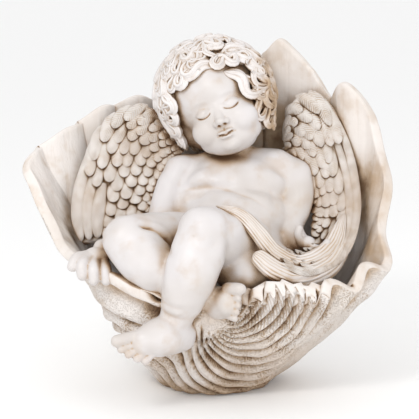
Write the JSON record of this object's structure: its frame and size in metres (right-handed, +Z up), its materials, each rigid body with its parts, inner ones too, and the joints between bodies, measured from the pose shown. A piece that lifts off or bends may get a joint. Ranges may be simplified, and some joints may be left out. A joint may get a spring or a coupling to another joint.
{
  "type": "sleeping angel statue in an open shell",
  "caption": "Garden or shelf ornament: a winged child asleep, reclining in a deep open fluted shell, cast in one piece in stone-white resin.",
  "frame": {"origin": "middle of the flat underside, on the surface that the statue stands on", "axes": "+Z up, -Y the front that the sleeping figure faces, +X to the right of a viewer in front"},
  "size_m": [0.3227, 0.2238, 0.3046],
  "materials": {
    "stone_resin": "matt cast resin with an ivory stone finish and a warm brown wash left in the recesses"
  },
  "bodies": {
    "root": {"statue": "stone_resin"}
  },
  "joints": []
}
